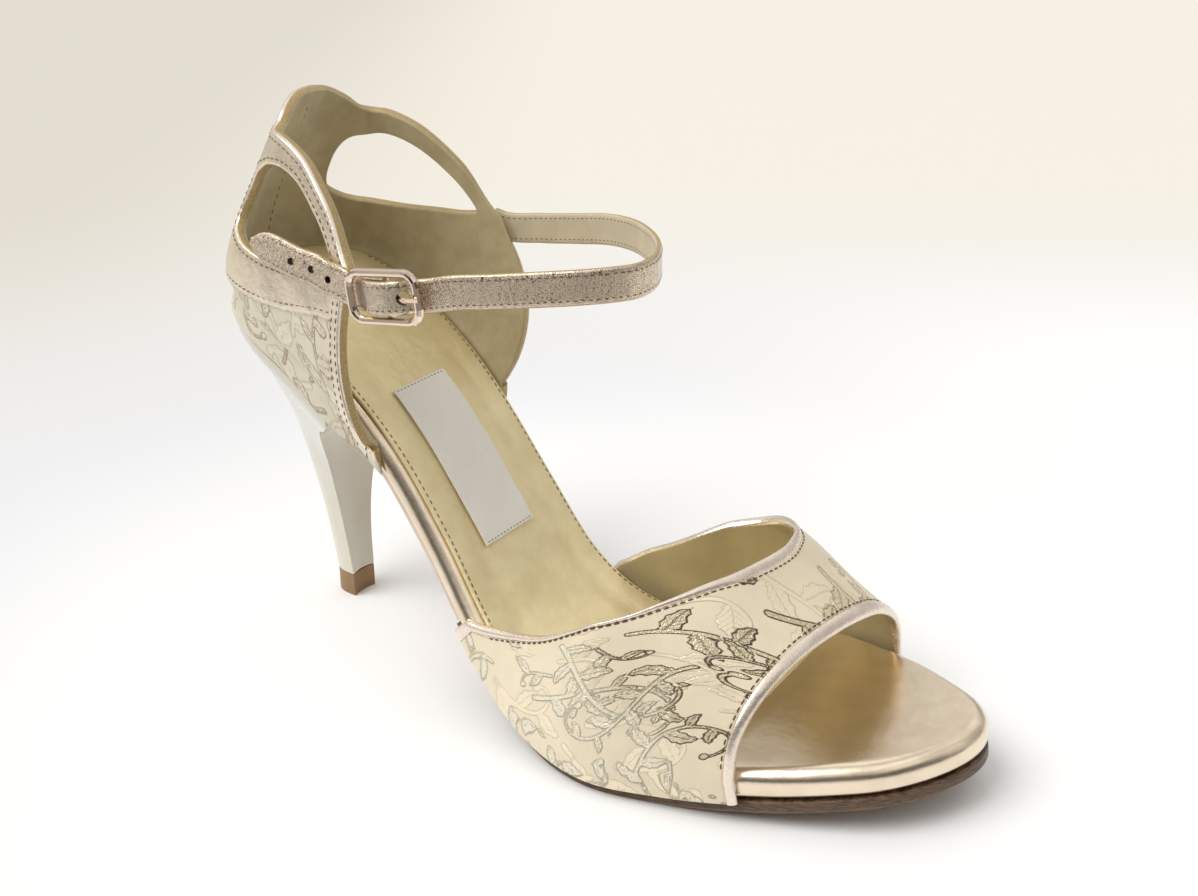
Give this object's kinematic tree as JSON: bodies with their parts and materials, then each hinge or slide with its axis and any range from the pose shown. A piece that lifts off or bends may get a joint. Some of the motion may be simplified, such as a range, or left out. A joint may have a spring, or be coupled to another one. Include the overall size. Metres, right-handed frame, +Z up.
{
  "type": "women's open-toe tango shoe, right",
  "caption": "Right open-toe tango sandal on a slim high heel: cream embossed leather vamp and counter, rose-gold bands with teardrop cut-outs, and a buckled ankle strap.",
  "frame": {"origin": "middle of the shoe's box, on the floor that it stands on", "axes": "+X from heel to toe, +Y to the inner side of the foot, +Z up"},
  "size_m": [0.2094, 0.084, 0.1418],
  "materials": {
    "cream_leather": "embossed, with a metallic sheen on the relief",
    "rose_gold_leather": "metallic, finely crackled",
    "rim_leather": "metallic, smooth",
    "sock_leather": "soft metallic, padded",
    "label_fabric": "woven, matt",
    "shank_leather": "smooth",
    "sole_leather": "dark, matt suede tread",
    "heel_cover": "glossy ivory",
    "top_lift_rubber": "matt",
    "buckle_metal": "pale rose plated, polished"
  },
  "bodies": {
    "root": {"vamp": "cream_leather", "quarter": "cream_leather", "ankle_strap": "rose_gold_leather", "buckle_anchor": "rose_gold_leather", "buckle_frame": "buckle_metal", "buckle_prong": "buckle_metal", "insole_board": "rim_leather", "sock": "sock_leather", "label": "label_fabric", "shank_cover": "shank_leather", "outsole": "sole_leather", "heel": "heel_cover", "top_lift": "top_lift_rubber"}
  },
  "joints": []
}
